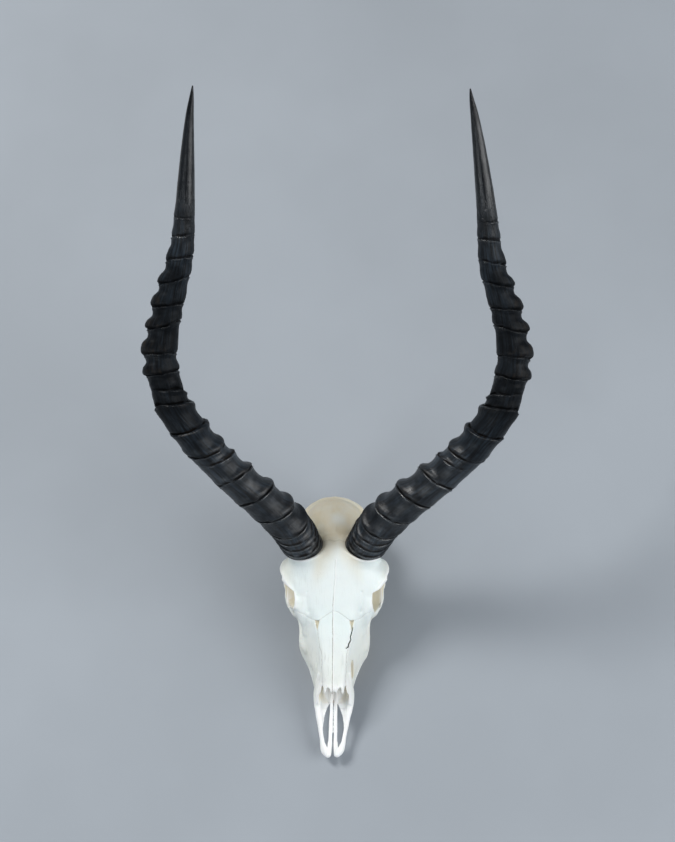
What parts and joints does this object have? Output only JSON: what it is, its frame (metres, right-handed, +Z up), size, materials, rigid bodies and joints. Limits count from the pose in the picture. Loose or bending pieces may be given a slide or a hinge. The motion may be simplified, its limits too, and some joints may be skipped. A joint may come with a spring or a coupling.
{
  "type": "impala skull",
  "caption": "Bleached antelope skull without the lower jaw, with long ringed black horns sweeping out, back and up, resting on its cheek teeth.",
  "frame": {"origin": "on the surface that the skull rests on, below the middle of the whole part's box", "axes": "+Z up, with the worn faces of the cheek teeth at zero; -Y towards the nose tip; +X towards the animal's left, the right of a viewer who looks at its face"},
  "size_m": [0.3707, 0.4975, 0.4939],
  "materials": {
    "bone": "matte",
    "horn_sheath": "satin",
    "tooth": "satin"
  },
  "bodies": {
    "root": {"skull": "bone", "horn_right": "horn_sheath", "horn_left": "horn_sheath", "upper_premolar_2_right": "tooth", "upper_premolar_2_left": "tooth", "upper_premolar_3_right": "tooth", "upper_premolar_3_left": "tooth", "upper_premolar_4_right": "tooth", "upper_premolar_4_left": "tooth", "upper_molar_1_right": "tooth", "upper_molar_1_left": "tooth", "upper_molar_2_right": "tooth", "upper_molar_2_left": "tooth", "upper_molar_3_right": "tooth", "upper_molar_3_left": "tooth"}
  },
  "joints": []
}
